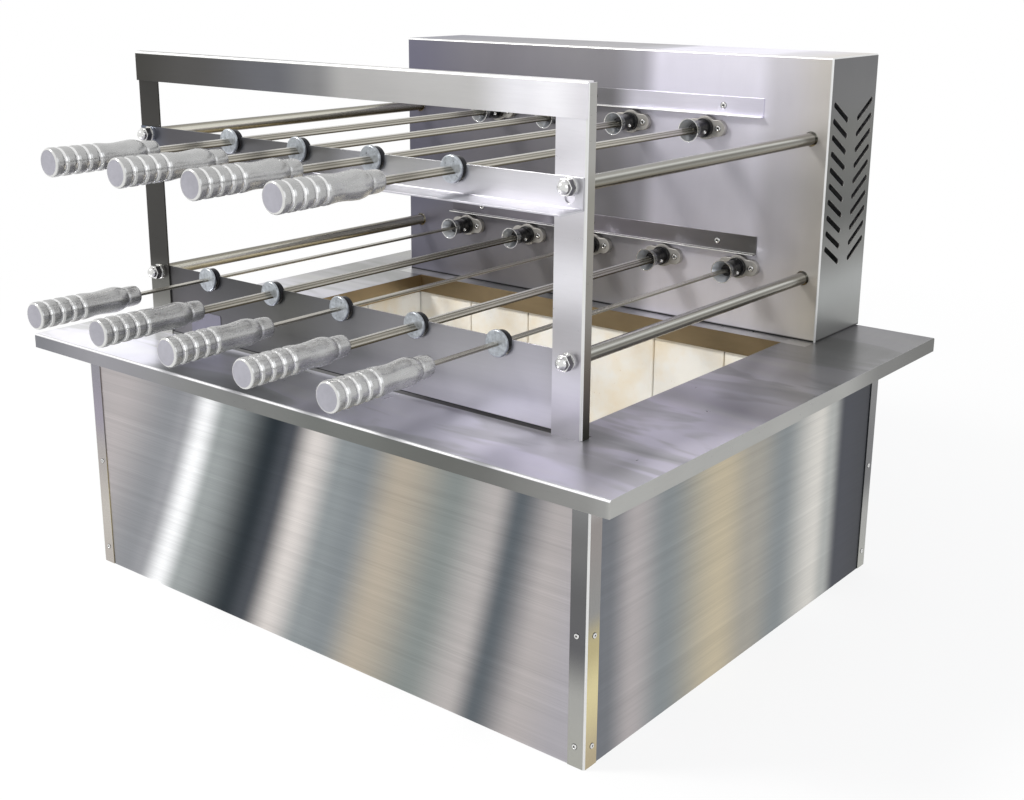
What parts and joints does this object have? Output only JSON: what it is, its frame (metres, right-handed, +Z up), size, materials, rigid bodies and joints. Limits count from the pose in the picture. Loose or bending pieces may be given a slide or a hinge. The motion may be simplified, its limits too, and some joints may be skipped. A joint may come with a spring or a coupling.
{
  "type": "charcoal kebab grill",
  "caption": "Free-standing stainless charcoal grill with a firebrick pit and two rows of motor-turned skewers that slide out of their drive sockets to the front.",
  "frame": {"origin": "centre of the base's underside, on the surface that the grill stands on", "axes": "+X to the right along the front, +Y from the handles to the motor box, +Z up"},
  "size_m": [0.94, 0.926, 0.702],
  "materials": {
    "brushed_sheet": "brushed",
    "satin_sheet": "satin",
    "plain_sheet": "mill finish",
    "polished_trim": "polished",
    "bright_steel": "polished",
    "spindle_steel": "dark turned steel with a bright mouth",
    "gear_steel": "greased machined steel",
    "bearing_metal": "satin",
    "motor_paint": "semi-gloss",
    "cast_aluminium": "cast, lightly polished",
    "firebrick": "rough fired clay",
    "black_plastic": "moulded"
  },
  "bodies": {
    "frame": {"base_front_panel": "brushed_sheet", "base_back_panel": "brushed_sheet", "base_left_panel": "brushed_sheet", "base_right_panel": "brushed_sheet", "base_pan": "plain_sheet", "corner_trims": "polished_trim", "countertop": "satin_sheet", "firebox_shell": "plain_sheet", "firebrick_walls": "firebrick", "firebrick_floor": "firebrick", "left_post": "satin_sheet", "right_post": "satin_sheet", "top_bar": "satin_sheet", "upper_skewer_rest": "satin_sheet", "lower_front_plate": "satin_sheet", "tie_rods": "bright_steel", "washers": "bright_steel", "dome_nuts": "bright_steel", "motor_box_casing": "brushed_sheet", "motor_box_back_cover": "plain_sheet", "lower_drip_shield": "satin_sheet", "upper_drip_shield": "satin_sheet", "bearing_flanges": "bearing_metal", "cable_gland": "black_plastic", "pop_rivets": "bright_steel", "motor_bracket": "plain_sheet", "gearmotor": "motor_paint"},
    "motor_gear": {"motor_gear": "gear_steel", "motor_shaft": "gear_steel"},
    "spindle_lower_1": {"spindle_lower_1": "spindle_steel", "gear_lower_1": "gear_steel"},
    "skewer_lower_1": {"skewer_lower_1": "cast_aluminium"},
    "spindle_lower_2": {"spindle_lower_2": "spindle_steel", "gear_lower_2": "gear_steel"},
    "skewer_lower_2": {"skewer_lower_2": "cast_aluminium"},
    "spindle_lower_3": {"spindle_lower_3": "spindle_steel", "gear_lower_3": "gear_steel"},
    "skewer_lower_3": {"skewer_lower_3": "cast_aluminium"},
    "spindle_lower_4": {"spindle_lower_4": "spindle_steel", "gear_lower_4": "gear_steel"},
    "skewer_lower_4": {"skewer_lower_4": "cast_aluminium"},
    "spindle_lower_5": {"spindle_lower_5": "spindle_steel", "gear_lower_5": "gear_steel"},
    "skewer_lower_5": {"skewer_lower_5": "cast_aluminium"},
    "spindle_upper_1": {"spindle_upper_1": "spindle_steel", "gear_upper_1": "gear_steel"},
    "skewer_upper_1": {"skewer_upper_1": "cast_aluminium"},
    "spindle_upper_2": {"spindle_upper_2": "spindle_steel", "gear_upper_2": "gear_steel"},
    "skewer_upper_2": {"skewer_upper_2": "cast_aluminium"},
    "spindle_upper_3": {"spindle_upper_3": "spindle_steel", "gear_upper_3": "gear_steel"},
    "skewer_upper_3": {"skewer_upper_3": "cast_aluminium"},
    "spindle_upper_4": {"spindle_upper_4": "spindle_steel", "gear_upper_4": "gear_steel"},
    "skewer_upper_4": {"skewer_upper_4": "cast_aluminium"}
  },
  "joints": [
    {"name": "spindle_lower_1_turn", "type": "hinge", "parent": "frame", "child": "spindle_lower_1", "pos_m": [-0.241, 0.25, 0.418], "axis": [0, 1, 0], "continuous": true},
    {"name": "spindle_lower_2_turn", "type": "hinge", "parent": "frame", "child": "spindle_lower_2", "pos_m": [-0.1205, 0.25, 0.418], "axis": [0, 1, 0], "continuous": true},
    {"name": "spindle_lower_3_turn", "type": "hinge", "parent": "frame", "child": "spindle_lower_3", "pos_m": [0, 0.25, 0.418], "axis": [0, 1, 0], "continuous": true},
    {"name": "spindle_lower_4_turn", "type": "hinge", "parent": "frame", "child": "spindle_lower_4", "pos_m": [0.1205, 0.25, 0.418], "axis": [0, 1, 0], "continuous": true},
    {"name": "spindle_lower_5_turn", "type": "hinge", "parent": "frame", "child": "spindle_lower_5", "pos_m": [0.241, 0.25, 0.418], "axis": [0, 1, 0], "continuous": true},
    {"name": "spindle_upper_1_turn", "type": "hinge", "parent": "frame", "child": "spindle_upper_1", "pos_m": [-0.18075, 0.25, 0.601], "axis": [0, 1, 0], "continuous": true},
    {"name": "spindle_upper_2_turn", "type": "hinge", "parent": "frame", "child": "spindle_upper_2", "pos_m": [-0.06025, 0.25, 0.601], "axis": [0, 1, 0], "continuous": true},
    {"name": "spindle_upper_3_turn", "type": "hinge", "parent": "frame", "child": "spindle_upper_3", "pos_m": [0.06025, 0.25, 0.601], "axis": [0, 1, 0], "continuous": true},
    {"name": "spindle_upper_4_turn", "type": "hinge", "parent": "frame", "child": "spindle_upper_4", "pos_m": [0.18075, 0.25, 0.601], "axis": [0, 1, 0], "continuous": true},
    {"name": "motor_turn", "type": "hinge", "parent": "frame", "child": "motor_gear", "pos_m": [0.02667, 0.29, 0.51064], "axis": [0, 1, 0], "continuous": true},
    {"name": "skewer_lower_1_slide", "type": "slide", "parent": "spindle_lower_1", "child": "skewer_lower_1", "axis": [0, -1, 0], "range_m": [0, 0.5]},
    {"name": "skewer_lower_2_slide", "type": "slide", "parent": "spindle_lower_2", "child": "skewer_lower_2", "axis": [0, -1, 0], "range_m": [0, 0.5]},
    {"name": "skewer_lower_3_slide", "type": "slide", "parent": "spindle_lower_3", "child": "skewer_lower_3", "axis": [0, -1, 0], "range_m": [0, 0.5]},
    {"name": "skewer_lower_4_slide", "type": "slide", "parent": "spindle_lower_4", "child": "skewer_lower_4", "axis": [0, -1, 0], "range_m": [0, 0.5]},
    {"name": "skewer_lower_5_slide", "type": "slide", "parent": "spindle_lower_5", "child": "skewer_lower_5", "axis": [0, -1, 0], "range_m": [0, 0.5]},
    {"name": "skewer_upper_1_slide", "type": "slide", "parent": "spindle_upper_1", "child": "skewer_upper_1", "axis": [0, -1, 0], "range_m": [0, 0.5]},
    {"name": "skewer_upper_2_slide", "type": "slide", "parent": "spindle_upper_2", "child": "skewer_upper_2", "axis": [0, -1, 0], "range_m": [0, 0.5]},
    {"name": "skewer_upper_3_slide", "type": "slide", "parent": "spindle_upper_3", "child": "skewer_upper_3", "axis": [0, -1, 0], "range_m": [0, 0.5]},
    {"name": "skewer_upper_4_slide", "type": "slide", "parent": "spindle_upper_4", "child": "skewer_upper_4", "axis": [0, -1, 0], "range_m": [0, 0.5]}
  ],
  "couplings": [
    {"joint": "spindle_lower_1_turn", "follows": "spindle_lower_3_turn", "ratio": 1},
    {"joint": "spindle_lower_2_turn", "follows": "spindle_lower_3_turn", "ratio": -1},
    {"joint": "spindle_lower_4_turn", "follows": "spindle_lower_3_turn", "ratio": -1},
    {"joint": "spindle_lower_5_turn", "follows": "spindle_lower_3_turn", "ratio": 1},
    {"joint": "spindle_upper_1_turn", "follows": "spindle_lower_3_turn", "ratio": 1},
    {"joint": "spindle_upper_2_turn", "follows": "spindle_lower_3_turn", "ratio": -1},
    {"joint": "spindle_upper_3_turn", "follows": "spindle_lower_3_turn", "ratio": 1},
    {"joint": "spindle_upper_4_turn", "follows": "spindle_lower_3_turn", "ratio": -1},
    {"joint": "motor_turn", "follows": "spindle_lower_3_turn", "ratio": -1.6667}
  ]
}
